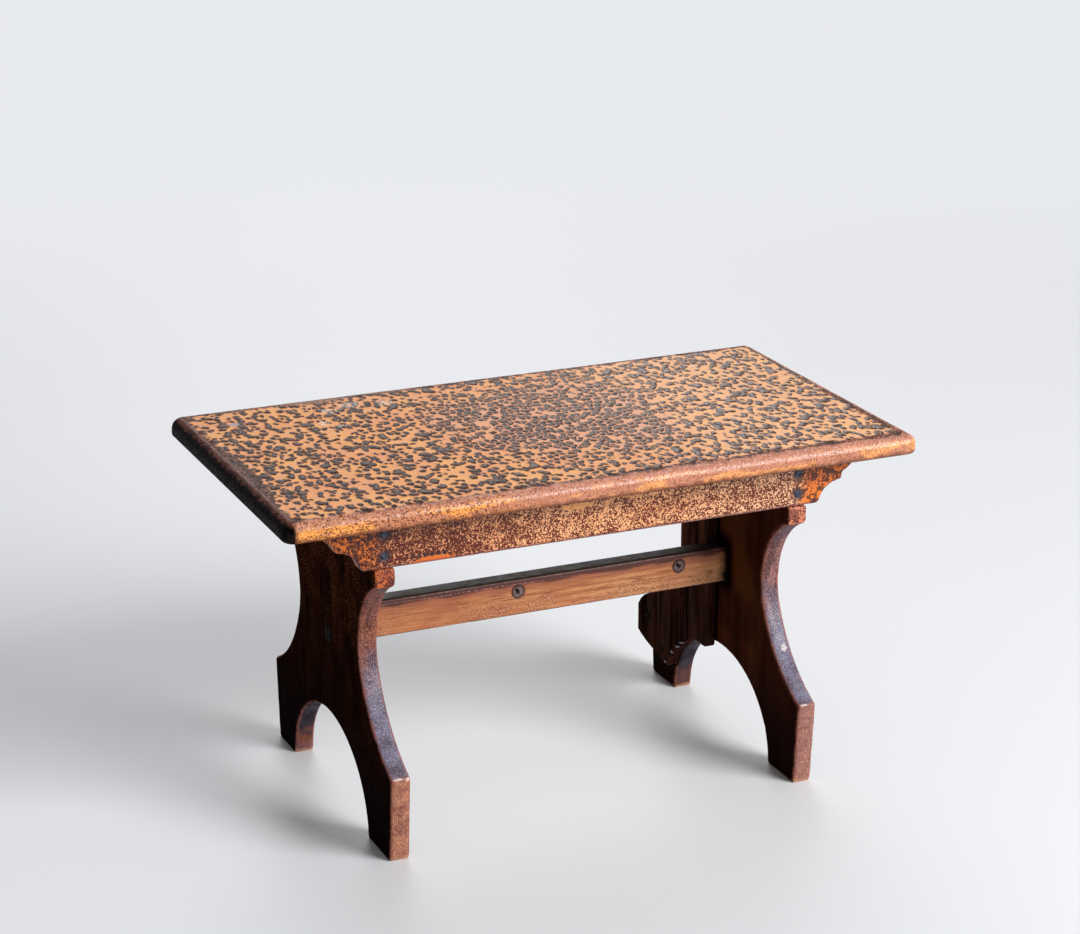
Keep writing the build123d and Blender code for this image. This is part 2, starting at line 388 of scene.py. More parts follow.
def trestle_finish():
    """Near black faces with fine specks, greyer sawn edges under a painted sheen, and reddish wood at the
    arrises.
    """
    material, place = new_material("trestle_varnish")
    at = parts(place)
    side = abs(at["Y"])
    right = ramp(at["X"], -10, 10)
    way = facing(place)
    on_edge = ramp(abs(way["X"]), 0.88, 0.5)
    grain = use(wood_grain, place, Stretch=(1, 1, 0.05))
    cracks = use(fine_crackle, place, Cell=1.4, Wander=0.8)
    cloud = noise(place, 9, 4)

    outward = way["X"] * calc("SIGN", at["X"])
    broad = noise(place * (1, 1, 0.12), 9, 4)
    streak = ramp(grain["Streaks"] * 0.3 + broad * 0.7, 0.38, 0.62)
    outer = tint(streak, (52, 26, 18), (25, 12, 9))
    outer = tint(ramp(at["Z"], 120, 20, 0, 0.7), outer, (20, 11, 10))
    inner = tint(streak, (70, 38, 26), (52, 28, 20))
    glow = ramp(noise(place, 60), 0.42, 0.6) * ramp(side, 75, 30)
    inner = tint(glow * 0.8, inner, (92, 52, 30))
    outside = ramp(outward, -0.3, 0.3)
    face = tint(outside, inner, outer)
    patches = ramp(noise(place, 22), 0.36, 0.6) * ramp(at["Z"], 70, 175, 0.15, 1) * outside
    specks = ramp(noise(place, 0.75, 1), 0.57, 0.66) * patches * 0.75
    face = tint(specks, face, (172, 100, 58))
    face = tint(ramp(at["Z"], 80, 20, 0, 0.8), face, (26, 19, 21))

    rubbing = noise(place * (1, 1, 0.45), 0.6, 3, 0.6)
    # the lower part of the edge strips: grey wood under a painted sheen, the room's reflection, with paler
    # streaks
    edge_grey_and_sheen = tint(ramp(cloud, 0.3, 0.7), (94, 84, 98), (128, 126, 148))
    edge_grey_and_sheen = tint(ramp(rubbing, 0.5, 0.38, 0, 0.6), edge_grey_and_sheen, (64, 52, 64))
    edge_grey_and_sheen = tint(ramp(rubbing, 0.52, 0.66, 0, 0.75), edge_grey_and_sheen, (190, 176, 186))
    brown = tint(ramp(cracks["Inside"], 0.1, 0.42), (152, 92, 72), (92, 54, 46))
    brown = tint(right * 0.55, brown, (150, 116, 118))
    brown = tint(ramp(noise(place * (1, 1, 0.4), 6), 0.46, 0.6, 0, 0.7), brown, (58, 36, 42))
    brown = tint(ramp(rubbing, 0.5, 0.36, 0, 0.7), brown, (48, 26, 26))
    brown = tint(ramp(rubbing, 0.54, 0.66, 0, 0.5), brown, (198, 146, 126))
    height = (cloud - 0.5) * 60 + at["Z"]
    edge = tint(ramp(height, 82, 126), edge_grey_and_sheen, brown)
    plum = ramp(height, 132, 152) * (right * 0.5 + 0.3)
    edge = tint(plum, edge, tint(ramp(rubbing, 0.5, 0.64), (78, 58, 68), (150, 128, 140)))
    foot_top, neck_bottom = 53, 163
    toe = ramp(at["Z"], foot_top + 1.5, foot_top - 1.5) * ramp(side, 90, 95)
    toe_wood = tint(ramp(noise(place, 6, 5, 0.7), 0.35, 0.65), (132, 84, 72), (186, 126, 98))
    toe_wood = tint(right * 0.5, toe_wood, (146, 108, 108))
    toe_wood = tint(ramp(rubbing, 0.5, 0.36, 0, 0.55), toe_wood, (88, 54, 52))
    toe_wood = tint(ramp(rubbing, 0.54, 0.66, 0, 0.6), toe_wood, (222, 166, 138))
    edge = tint(toe, edge, toe_wood)
    arch = ramp(at["Z"], 58, 56) * ramp(side, 70, 66)
    arch_wood = tint(ramp(cloud, 0.3, 0.7), (46, 39, 44), (66, 60, 70))
    low = noise(place, 5, 4) * 26 + at["Z"]
    foot_wood = tint(noise(place, 3, 4), (96, 56, 44), (140, 84, 66))
    arch_wood = tint(ramp(low, 34, 20) * (1 - right * 0.6), arch_wood, foot_wood)
    edge = tint(arch, edge, arch_wood)
    neck = ramp(at["Z"], neck_bottom - 1, neck_bottom + 0.8) * ramp(side, 70, 74)
    drops = use(drawn_up_varnish, place, Pitch=0.95, Dotted=0.45, Cover=0.52)
    neck_wood = tint(ramp(cloud, 0.4, 0.6), (200, 108, 64), (172, 92, 66))
    neck_wood = tint(right * 0.5, neck_wood, (228, 152, 126))
    neck_wood = tint(drops["Dark"], neck_wood, (84, 44, 42))
    neck_wood = tint(ramp(noise(place, 4.5), 0.5, 0.58, 0, 0.6), neck_wood, (78, 46, 50))
    edge = tint(neck, edge, neck_wood)

    colour = tint(on_edge, face, edge)
    wear = use(worn_arrises, place, Reach=0.36, Ragged=0.5)
    worn = wear["Worn"] * ramp(on_edge, 0, 0.4, 0.35, 0.8) * (1 - neck) * ramp(cloud, 0.3, 0.6, 0.35, 1)
    colour = tint(worn, colour, (164, 100, 86))
    sole = ramp(noise(place, 3, 4) * 5 + at["Z"], 5.4, 3)
    colour = tint(sole * on_edge * 0.8, colour, (206, 158, 120))
    chips = spots(place, [((131.5, -74, 84), (5, 8, 4.6)), ((134, -74, 78.5), (2.6, 8, 2.6)),
                          ((-134, -101.5, 52.8), (3, 2, 0.6)), ((-128, -101.5, 52.2), (1.4, 2, 0.9)),
                          ((130, -101.5, 52.8), (2.2, 1.6, 0.5))], 0.9)
    colour = tint(chips * 0.8, colour, (222, 208, 206))
    # painted shade: near black on the trestles round the stretcher's ends
    from_joint = noise(place, 4) * 4 + beyond(place, "stretcher")
    colour = tint(ramp(from_joint, 14, 4, 0, 0.92), colour, (12, 7, 6))
    shadowed = ramp(beyond(place, "mending_board"), 4, 0.5, 0, 0.9) * ramp(way["X"], 0, -0.5)
    colour = tint(shadowed, colour, (10, 6, 6))
    # darker in hollow corners: dirt and painted shade
    colour = tint(wear["Dirt"] * 0.8, colour, (14, 7, 6))
    gloss = ramp(on_edge, 0, 1, 0.05, 1) * ramp(noise(place, 10), 0.35, 0.65, 0.1, 0.28)
    height = ramp(cracks["Inside"], 0, 0.3, 0, 0.6) + grain["Streaks"] * 0.2
    return shaded(material, height, 0.22 * mm, Base_Color=colour,
                  Roughness=ramp(noise(place, 6, 4), 0.3, 0.7, 0.42, 0.62),
                  Coat_Weight=gloss, Coat_Roughness=0.28)


trestle_varnish = trestle_finish()
for side in ("left", "right"):
    board = worked_board(side + "_trestle", side + "_trestle_board", 1.1 * mm, soften=0.6, swell=0.35,
                         swell_size=38.0, dents=0.35)
    finish_piece(board, side + "_trestle", trestle_varnish)


# Stretcher
# One flat rail of straight-grained wood between the trestles, in thin red-brown varnish. Its top face
# is darker, its front arris is rubbed pale, and its ends are painted near black as shade.

def from_plug(at):
    """How far a point of the rail's front face is from the middle of the nearer plug."""
    low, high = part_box("stretcher_plugs")
    radius = (high.z - low.z) / 2
    apart = ((high.x - low.x) / 2 - radius) / mm
    across = abs(at["X"] - (low.x + high.x) / 2 / mm)
    up = at["Z"] - (low.z + high.z) / 2 / mm
    away = lay("ShaderNodeCombineXYZ", across - apart, up)
    return length(away), radius / mm


def stretcher_finish():
    material, place = new_material("stretcher_varnish")
    at = parts(place)
    way = facing(place)
    low, high = (corner.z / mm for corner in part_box("stretcher"))
    cloud = noise(place * (0.3, 1, 1), 5, 4)
    grain = use(wood_grain, place, Stretch=(0.03, 1, 1))
    colour = tint(ramp(grain["Streaks"], 0.3, 0.7), (222, 156, 108), (172, 102, 68))
    colour = tint(ramp(at["X"], -60, 80, 0.5, 0), colour, (190, 116, 80))
    colour = tint(ramp(noise(place * (0.4, 1, 1), 9, 4, 0.6), 0.46, 0.6, 0, 0.5), colour, (172, 100, 74))
    colour = tint(grain["Pores"] * 0.75, colour, (112, 58, 40))
    colour = tint(ramp(at["X"], 75, 112, 0, 0.6), colour, (244, 166, 114))
    cracks = use(fine_crackle, place, Cell=1.1, Wander=1)
    speckle = ramp(noise(place, 26), 0.36, 0.6) * ramp(at["Z"], 118, 106, 0.15, 1)
    speckle = speckle * ramp(at["X"], -140, 60, 0.35, 1)
    colour = tint(speckle * ramp(noise(place, 0.8, 1), 0.54, 0.62), colour, (240, 196, 152))
    colour = tint(speckle * ramp(cracks["Chance"], 0.16, 0.1) * 0.55, colour, (120, 66, 44))
    from_top = high - at["Z"] + (cloud - 0.5) * 6
    colour = tint(ramp(from_top, 10, 5, 0, 0.7), colour, (174, 106, 84))
    colour = tint(ramp(from_top, 5.6, 3, 0, 0.9), colour, (78, 44, 42))
    wear = use(worn_arrises, place, Reach=0.3, Ragged=0.5)
    line = high - at["Z"] + noise(place * (0.4, 1, 1), 9, 1) * 2 - 1
    scratched = ramp(line, 2.4, 2.9) * ramp(line, 3.8, 3.2)
    scratched = scratched * ramp(at["X"], 40, -20) * ramp(noise(place, 1.6), 0.4, 0.7)
    worn = most(scratched, wear["Worn"] * ramp(cloud, 0.35, 0.6, 0.1, 0.4))
    colour = tint(worn * 0.6, colour, (208, 160, 150))
    reach, radius = from_plug(at)
    # painted shadow: a dark ring in the wood round each plug
    plug_shadow_ring = (noise(place, 1.6, 4) - 0.5) * 2.4 + reach
    colour = tint(ramp(plug_shadow_ring, radius + 1.8, radius - 0.2, 0, 0.6), colour, (104, 68, 64))
    # darker on the top face
    dark_top_face = tint(noise(place, 4, 4), (50, 40, 35), (78, 66, 57))
    colour = tint(ramp(way["Z"], 0.45, 0.85), colour, dark_top_face)
    foot = ramp(at["Z"], low + 1.7, low + 0.5) * ramp(cloud, 0.3, 0.55) * 0.8
    colour = tint(foot, colour, (90, 50, 62))
    inner_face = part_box("right_trestle")[0].x / mm
    # painted shade: the rail's ends go near black where they enter the trestles, most on the right
    ends = (noise(place, 6, 4) - 0.5) * 7 + abs(at["X"])
    right_end = ramp(at["X"], 0, 10, 0.35, 1)
    colour = tint(ramp(ends, inner_face - 8, inner_face - 0.5) * right_end, colour, (20, 11, 9))
    height = grain["Streaks"] - grain["Pores"] + ramp(cracks["Inside"], 0, 0.25) * speckle
    return shaded(material, height, 0.2 * mm, specular=0.06, Base_Color=colour,
                  Roughness=ramp(noise(place, 5, 4), 0.3, 0.7, 0.38, 0.55),
                  Coat_Weight=ramp(from_top, 6, 1, 0.05, 0.5) * ramp(way["Z"], 0.9, 0.6, 0.05, 1),
                  Coat_Roughness=0.3)


rail = worked_board("stretcher", "stretcher_rail", 0.9 * mm, soften=0.5, swell=0.2, swell_size=45.0,
                    dents=0.2)
finish_piece(rail, "stretcher", stretcher_finish())


# Aprons
# Two moulded rails let into the trestles under the seat, in orange varnish that has drawn into
# a fine dark maze, with bare orange wood where it has flaked off and single drops at the ends.

def apron_finish():
    material, place = new_material("apron_varnish")
    at = parts(place)
    face, low_edge = -83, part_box("front_apron")[0].z / mm
    from_low = at["Z"] - low_edge
    out = abs(at["X"])
    cloud = noise(place, 12)
    grain = use(wood_grain, place, Stretch=(0.03, 1, 1))
    wander = (noise(place, 16) - 0.5) * 60
    right_part = ramp(at["X"] + wander, -115, -25)
    end_part = ramp(wander * 0.2 + out, 128, 142)
    bare = tint(right_part, (230, 152, 106), (250, 180, 129))
    bare = tint(ramp(at["X"], 40, 120, 0, 0.7), bare, (255, 202, 160))
    bare = tint(end_part, bare, (226, 120, 56))
    bare = tint(ramp(grain["Streaks"], 0.45, 0.75, 0, 0.5), bare, (204, 112, 62))
    cover = right_part * -0.24 + 0.78 + (cloud - 0.5) * 1.3
    cover = cover + ramp(at["X"], 20, 110, 0, 0.06) + ramp(from_low, 17, 30, 0, 0.14)
    fine = use(drawn_up_varnish, place, Pitch=0.86, Dotted=end_part * 0.6, Cover=cover)
    coarse = use(drawn_up_varnish, place, Pitch=1.35, Dotted=1, Cover=0.5)
    upper = ramp(from_low, 17, 24) * ramp(noise(place, 14), 0.42, 0.55)
    upper = most(upper, end_part * ramp(cloud, 0.4, 0.55))
    dark_spot = coarse["Dark"] * upper * ramp(coarse["Chance"], 0.3, 0.35)
    film = tint(right_part, (90, 32, 12), (106, 42, 20))
    film = tint(ramp(noise(place, 7), 0.4, 0.65, 0, 0.4), film, (88, 40, 29))
    film = tint(ramp(from_low, 16, 24, 0, 0.7), film, (74, 29, 19))
    colour = tint(fine["Dark"], bare, film)
    flaked = spots(place, [((-103, face, 176), (12, 3, 2.6)), ((-113, face, 175.2), (4, 3, 1.6)),
                           ((143, face, 181), (6, 3, 3.2)), ((137, face, 177.5), (4, 3, 2.2)),
                           ((20, face, 199), (15, 3, 2.4)), ((-14, face, 195.5), (10, 3, 2)),
                           ((46, face, 200.5), (11, 3, 2))], 1.1)
    flaked_wood = tint(ramp(at["X"], -100, -60), (228, 112, 40), (240, 166, 104))
    flaked_wood = tint(end_part, flaked_wood, (236, 124, 44))
    colour = tint(flaked * 0.9, colour, flaked_wood)
    spacing, row_middle, row_half, row_height = 3.9, -105.7, 11.7, 179.7
    along = at["X"] - row_middle
    in_row = calc("MODULO", along + row_half, spacing) - spacing / 2
    row = ramp(length(lay("ShaderNodeCombineXYZ", in_row, at["Z"] - row_height)), 1.7, 1.2)
    row = row * ramp(abs(along), row_half + 0.2, row_half - 0.2)
    colour = tint(most(dark_spot, row) * 0.85, colour, (48, 32, 38))
    wear = use(worn_arrises, place, Reach=0.3, Ragged=0.5)
    colour = tint(wear["Worn"] * 0.5, colour, (150, 92, 84))
    colour = tint(ramp(from_low, 2.6, 0.8, 0, 0.6), colour, (112, 68, 72))
    colour = tint(ramp(noise(place, 4) * 5 + from_low, 32, 35, 0, 0.55), colour, (84, 46, 38))
    colour = tint(end_part * ramp(noise(place, 3.4), 0.52, 0.58) * 0.8, colour, (60, 36, 36))
    (low, high), head_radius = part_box("apron_nails"), 2.9
    for height in (low.z / mm + head_radius, high.z / mm - head_radius):
        middles = [(end * (high.x / mm - head_radius), face, height) for end in (-1, 1)]
        rust_ring = spots(place, [(middle, (4.6, 6, 4.4)) for middle in middles])
        colour = tint(rust_ring * 0.6, colour, (58, 42, 54))
    return shaded(material, fine["Dark"], 0.16 * mm, specular=0.2, Base_Color=colour,
                  Roughness=ramp(fine["Dark"], 0, 1, 0.5, 0.36),
                  Coat_Weight=ramp(fine["Dark"], 0, 1, 0.05, 0.22), Coat_Roughness=0.25)


apron_varnish = apron_finish()
for side in ("front", "rear"):
    rail = worked_board(side + "_apron", side + "_apron_rail", 0.9 * mm, soften=0.5, swell=0.2,
                        swell_size=45.0, dents=0.2)
    finish_piece(rail, side + "_apron", apron_varnish)


# Seat board
# One board with a round nose all the way round. Its thick orange varnish has alligatored: it
# drew up into dark raised islands, dense in the middle, with a fine brown crackle along the rim.

def thick_varnish(kind):
    """Islands of thick varnish: the same pattern for the look and for the relief.

    Body is how far inside an island a point lies, in millimetres. Thick lumps run together where
    they lie close, and single drops fill the room between them, close-set where it is dense.
    """
    takes = {"Place": (0.0, 0.0, 0.0), "Dense": 0.0}
    name = "thick_varnish_" + kind[:6].lower()
    tree, given, made = new_group(name, kind, takes, {"Body": 0.0, "Chance": 0.0})
    dense = given["Dense"]
    bend_size, bend_reach = 6, 5
    place = astray(given["Place"], 1 / bend_size, bend_reach, 1)

    def cells(at, size, feature, **words):
        return lay("ShaderNodeTexVoronoi", Vector=at, Scale=1 / size, feature=feature,
                   voronoi_dimensions="2D", **words)

    def lumps(at):
        cell = 6.4
        near = cells(at, cell, "SMOOTH_F1", Randomness=0.95, Smoothness=0.25)
        reach = ramp(noise(at, 10, 1), 0.34, 0.66, 0.16, 0.44) - dense * 0.42
        return (reach - near) * cell

    drop_cell, shift = 4.7, (31.7, 17.3, 0)
    moved = place + shift
    near = cells(moved, drop_cell, "F1", Randomness=0.85)
    chance = parts(near.out("Color"))
    middle = near.out("Position") - shift
    edge = cells(moved, drop_cell, "DISTANCE_TO_EDGE", Randomness=0.85) * drop_cell
    from_edge = edge - (0.5 - dense * 0.12)
    reach = chance["Z"] * 0.22 + dense * 0.2 + 0.27
    from_middle = (reach - near) * drop_cell
    drop = calc("SMOOTH_MIN", from_edge, from_middle, dense * 0.3 + 0.7)
    room = reach * drop_cell + lumps(middle)
    crowded = calc("GREATER_THAN", room, dense * 2.5 + 0.5)
    gone = calc("LESS_THAN", chance["X"], 0.1 - dense * 0.06)
    drop = drop - most(crowded, gone) * 10
    feed(made["Body"], most(lumps(place), drop))
    feed(made["Chance"], chance["Y"])
    return tree


varnish_look = thick_varnish("ShaderNodeTree")
varnish_shape = thick_varnish("GeometryNodeTree")
seat_low, seat_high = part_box("top_board")
half_length = seat_high.x / mm
half_depth = seat_high.y / mm
seat_top = seat_high.z / mm
nose_radius = 7.9


def seat_pattern(group, place):
    """How far inside an island of varnish a point lies, its chance, and how dense the islands are there."""
    dense_middle, dense_size = (16, 6, seat_top), (74, 76, 1000)
    away = (place - dense_middle) / dense_size
    dense = ramp(dot(away, away) + (noise(place, 30) - 0.5) * 1.8, 1.6, 0)
    return {**use(group, place * (1.06, 0.76, 1), Dense=dense), "Dense": dense}


def past_flat(at):
    """How far a point lies outside the flat of the top, in millimetres: 0 where the nose begins."""
    long_way = abs(at["X"]) - (half_length - nose_radius)
    short_way = abs(at["Y"]) - (half_depth - nose_radius)
    return most(long_way, short_way)


def rim_share(place):
    """How much of the fine brown crackle along the rim there is. It is wide at the front right corner."""
    at = parts(place)
    left_width = ramp(abs(at["Y"] + 15), 60, 25, 9, 14)
    right_width = lay("ShaderNodeMapRange", at["Y"], 85, -82, 7, 12)
    front_width = lay("ShaderNodeMapRange", at["X"], -150, 170, 7, 11)
    rear_width = 10.5
    along = least(at["X"] + half_length - left_width, half_length - at["X"] - right_width)
    across = least(at["Y"] + half_depth - front_width, half_depth - at["Y"] - rear_width)
    ragged = (noise(place, 7, 3, 0.6) - 0.5) * 12
    return ramp(least(along, across) + ragged, 1.5, -1.5)


def seat_mesh():
    """The board's skin: a fine grid on top, the nose swept round it, and a plain underside."""
    step, lower_radius = 1.06, 3.5
    upper_steps, lower_steps, corner_steps = 9, 5, 8
    flat_x, flat_y = half_length - nose_radius, half_depth - nose_radius
    count_x, count_y = round(2 * flat_x / step), round(2 * flat_y / step)
    row = count_x + 1
    points = [(x, y, seat_top)
              for y in np.linspace(-flat_y, flat_y, count_y + 1) for x in np.linspace(-flat_x, flat_x, row)]
    faces = [(j * row + i, j * row + i + 1, (j + 1) * row + i + 1, (j + 1) * row + i)
             for j in range(count_y) for i in range(count_x)]

    thickness = (seat_high.z - seat_low.z) / mm
    profile = []
    for turn in (math.pi / 2 * number / upper_steps for number in range(1, upper_steps + 1)):
        profile.append((nose_radius * math.sin(turn), nose_radius * (math.cos(turn) - 1)))
    for turn in (math.pi / 2 * number / lower_steps for number in range(lower_steps + 1)):
        profile.append((nose_radius - lower_radius * (1 - math.cos(turn)),
                        lower_radius * (1 - math.sin(turn)) - thickness))

    front, right = [(i, 0) for i in range(row)], [(count_x, j) for j in range(count_y + 1)]
    rear, left = [(i, count_y) for i in reversed(range(row))], [(0, j) for j in reversed(range(count_y + 1))]
    rim = []
    for edge, start in ((front, -90), (right, 0), (rear, 90), (left, 180)):
        corner = [start + 90 * number / corner_steps for number in range(1, corner_steps)]
        ways_out = [start] * len(edge) + corner
        edge += edge[-1:] * len(corner)
        rim += [(j * row + i, math.radians(way)) for (i, j), way in zip(edge, ways_out)]
    rings = [[index for index, way in rim]]
    for out, down in profile:
        first = len(points)
        for index, way in rim:
            x, y, z = points[index]
            points.append((x + out * math.cos(way), y + out * math.sin(way), z + down))
        rings.append(range(first, len(points)))
    for upper, lower in zip(rings, rings[1:]):
        for here in range(len(rim)):
            after = (here + 1) % len(rim)
            corners = (upper[here], lower[here], lower[after], upper[after])
            faces.append(corners[:3] if upper[here] == upper[after] else corners)
    faces.append(tuple(reversed(rings[-1])))
    mesh = bpy.data.meshes.new("seat")
    mesh.from_pydata([tuple(part * mm for part in point) for point in points], [], faces)
    work = bmesh.new()
    work.from_mesh(mesh)
    bmesh.ops.remove_doubles(work, verts=work.verts, dist=mm / 1000)
    bmesh.ops.recalc_face_normals(work, faces=work.faces)
    work.to_mesh(mesh)
    work.free()
    return mesh


def seat_relief_tree():
    """Lowers the wood between the islands, so that the varnish stands proud in the mesh too."""
    takes = {"Geometry": "", "Island Depth": 0.75, "Rim Depth": 0.45}
    tree, given, made = new_group("seat_relief", "GeometryNodeTree", takes, {"Geometry": ""})
    place = millimetres(lay("GeometryNodeInputPosition", tree=tree))
    below = seat_top - parts(place)["Z"]
    body = seat_pattern(varnish_shape, place)["Body"]
    rim = rim_share(place)
    left_end = ramp(parts(place)["X"], -190, -195, 1, 1.2)
    field = ramp(body, -0.3, 1, 1, 0) * given["Island Depth"]
    crust = ramp(below, 0, 3, 0.6, 0.1) * given["Island Depth"]
    crust = crust + noise(place, 2.6, 2) * given["Rim Depth"] * left_end
    low = lay("ShaderNodeMix", rim, field, crust) + noise(place, 35, 2) * 0.3
    low = low * ramp(below, 12, 9) * -mm
    offset = lay("GeometryNodeInputNormal", tree=tree) * low
    feed(made["Geometry"], lay("GeometryNodeSetPosition", Geometry=given["Geometry"], Offset=offset))
    return tree


def seat_finish():
    material, place = new_material("seat_varnish")
    at = parts(place)
    way = facing(place)
    pattern = seat_pattern(varnish_look, place)
    body, dense = pattern["Body"], pattern["Dense"]
    rim = rim_share(place)
    cracks = use(fine_crackle, place, Cell=1.5, Wander=1)
    grain = use(wood_grain, place, Stretch=(0.03, 1, 1))
    cloud = noise(place, 6, 4)
    grit = noise(place, 0.8, 1)

    amber = tint(ramp(noise(place, 36), 0.35, 0.65), (244, 172, 99), (238, 158, 99))
    # paler towards the right: painted sheen
    amber = tint(ramp(at["X"], 20, 120, 0, 0.8), amber, (252, 190, 132))
    amber = tint(ramp(dense, 0.2, 0.9, 0, 0.6), amber, (228, 163, 136))
    amber = tint(ramp(grain["Streaks"], 0.45, 0.75, 0, 0.25), amber, (206, 106, 46))
    # pale pinkish-grey mottling: partly a real tone, partly painted reflection
    amber = tint(ramp(noise(place, 2.6), 0.46, 0.64, 0, 0.65), amber, (208, 164, 150))
    brink = ramp(body, -0.7, -0.05, 0, 0.75) * ramp(dense, 0.2, 0.9, 1, 0.45)
    amber = tint(brink, amber, (150, 96, 80))
    crown = tint(pattern["Chance"], (48, 26, 16), (84, 56, 44))
    # island tops paler towards the right: painted sheen
    crown = tint(ramp(at["X"], -20, 150, 0, 0.5), crown, (112, 88, 78))
    # pale grey flecks on the island tops: painted highlights
    crown = tint(ramp(grit, 0.64, 0.72) * 0.4, crown, (128, 122, 128))
    island = tint(ramp(body, 0.15, 0.8), (28, 12, 7), crown)
    field = tint(ramp(body, -0.12, 0.12), amber, island)

    left_rim = ramp(at["X"], -160, -178)
    small = use(drawn_up_varnish, place, Pitch=1.9, Dotted=0.4, Cover=0.62)
    crust = tint(ramp(cloud, 0.35, 0.65), (150, 92, 74), (184, 122, 98))
    crust = tint(left_rim * 0.85, crust, (112, 66, 52))
    crumbs = tint(left_rim, (78, 48, 44), (20, 12, 12))
    crust = tint(small["Dark"] * 0.95, crust, crumbs)
    # pale specks on the rim crust: painted glints
    crust = tint(ramp(grit, 0.62, 0.7) * ramp(left_rim, 0, 1, 0.5, 0.25), crust, (196, 170, 164))
    crusted = rim * ramp(body, 0.12, -0.12)
    colour = tint(crusted, field, crust)

    below = seat_top - at["Z"]
    wavy = (cloud - 0.5) * 6 + below
    left_part = ramp(at["X"], -20, -110)
    orange = tint(left_part, (236, 158, 100), (242, 158, 80))
    reddish = tint(left_part, (190, 126, 102), (192, 126, 94))
    patch = ramp(noise(place * (0.3, 1, 1), 7, 4), 0.44, 0.54, 0.1, 1)
    band = tint(ramp(wavy, 2.4, 5) * patch, reddish, orange)
    cover = (noise(place, 9) - 0.5) * 1.1 + ramp(below, 1, 9, 0.3, 0.5)
    drops = use(drawn_up_varnish, place, Pitch=1, Dotted=0.4, Cover=cover)
    speckled = drops["Dark"] * ramp(left_part, 0, 1, 0.5, 0.9)
    band = tint(speckled, band, (104, 50, 32))
    # pale pink specks on the nose: painted highlights
    pale = ramp(grit, 0.54, 0.64) * ramp(wavy, 6, 3) * 0.5
    band = tint(pale, band, (248, 206, 190))
    band = tint(ramp(wavy, 8.8, 11.6, 0, 0.8), band, (110, 60, 44))
    band = tint(ramp(wavy, 1.6, 0.2, 0, 0.6), band, (120, 72, 66))
    off_top = (cloud - 0.5) * 5 + past_flat(at)
    colour = tint(ramp(off_top, 0.8, 3), colour, band)
    end_top = tint(ramp(cracks["Inside"], 0.12, 0.4), (130, 84, 72), (52, 34, 33))
    end_face = tint(ramp(cloud, 0.4, 0.7), (14, 9, 9), (40, 30, 30))
    end = tint(ramp(wavy, 1, 3.4), end_top, end_face)
    left_end = ramp(way["X"], 0, -0.3) * ramp(at["X"], -188, -192)
    colour = tint(left_end, colour, end)

    rubbed = spots(place, [((-111, 99.5, seat_top), (24, 5, 6)), ((-60, 102, seat_top), (14, 3, 6))])
    colour = tint(rubbed * 0.7, colour, (158, 118, 98))
    specks = spots(place, [((-70, 79, seat_top), (5, 5, 5)), ((-92, 84, seat_top), (7, 5, 5)),
                           ((-106.5, 77, seat_top), (6, 4.5, 5)), ((-117.5, 56, seat_top), (3.6, 3.6, 5)),
                           ((-111, 46, seat_top), (4, 2.4, 5))], 1)
    colour = tint(specks * ramp(grit, 0.48, 0.6, 0.05, 0.85), colour, (232, 222, 208))
    grey_drop = spots(place, [((-168, 75.5, seat_top), (3.6, 2.8, 5))], 0.3)
    colour = tint(grey_drop * 0.8, colour, (152, 156, 176))
    underside = ramp(below, 12, 12.7)
    raw = tint(ramp(grain["Streaks"], 0.3, 0.7), (96, 66, 46), (68, 44, 32))
    colour = tint(underside, colour, raw)

    satin = ramp(noise(place, 8, 4), 0.3, 0.7, 0.3, 0.46)
    nose = ramp(past_flat(at), 0, 2)
    crusty = most(rim, nose)
    crust_gloss = ramp(grit, 0.35, 0.6, 0.1, 0.8) * ramp(nose, 0, 1, 0.25, 1)
    sheen = ramp(at["X"], -120, 150, 0.27, 0.66) * ramp(body, 0, 0.8, 0.4, 1)
    glossy = lay("ShaderNodeMix", crusty, sheen, crust_gloss)
    dull = most(underside, left_end * 0.75)
    height = lay("ShaderNodeMix", crusty, ramp(body, -0.25, 0.7), small["Dark"] * 0.6)
    rough = grit * most(crusty * 0.7, ramp(body, 0, 0.4))
    return shaded(material, rough * 0.35 + height, 0.34 * mm, Base_Color=colour,
                  Roughness=most(satin, underside * 0.75), Coat_Weight=glossy * (1 - dull),
                  Coat_Roughness=0.26)


seat = new_piece("seat_board", seat_mesh())
add_tree(seat, seat_relief_tree())
taken_in(seat)
finish_piece(seat, "top_board", seat_finish())


# Mending board
# A rough split board nailed inside the right trestle's rear half long ago. It was never planed:
# its grain stands in ridges and open cracks under a dark stain.

def ridges_tree():
    """Sinks the softer grain of the board's broad face between the hard ridges."""
    takes = {"Geometry": "", "Ridge Depth": 0.5, "Ridge Width": 9.0}
    tree, given, made = new_group("split_ridges", "GeometryNodeTree", takes, {"Geometry": ""})
    place = millimetres(lay("GeometryNodeInputPosition", tree=tree))
    normal = lay("GeometryNodeInputNormal", tree=tree)
    drawn = place * (1, 1, 0.12)
    ridge = noise(drawn, given["Ridge Width"], 2)
    depth = ramp(ridge, 0.6, 0.35) * given["Ridge Depth"] * ramp(parts(normal)["X"], -0.2, -0.8) * -mm
    offset = normal * depth
    feed(made["Geometry"], lay("GeometryNodeSetPosition", Geometry=given["Geometry"], Offset=offset))
    return tree


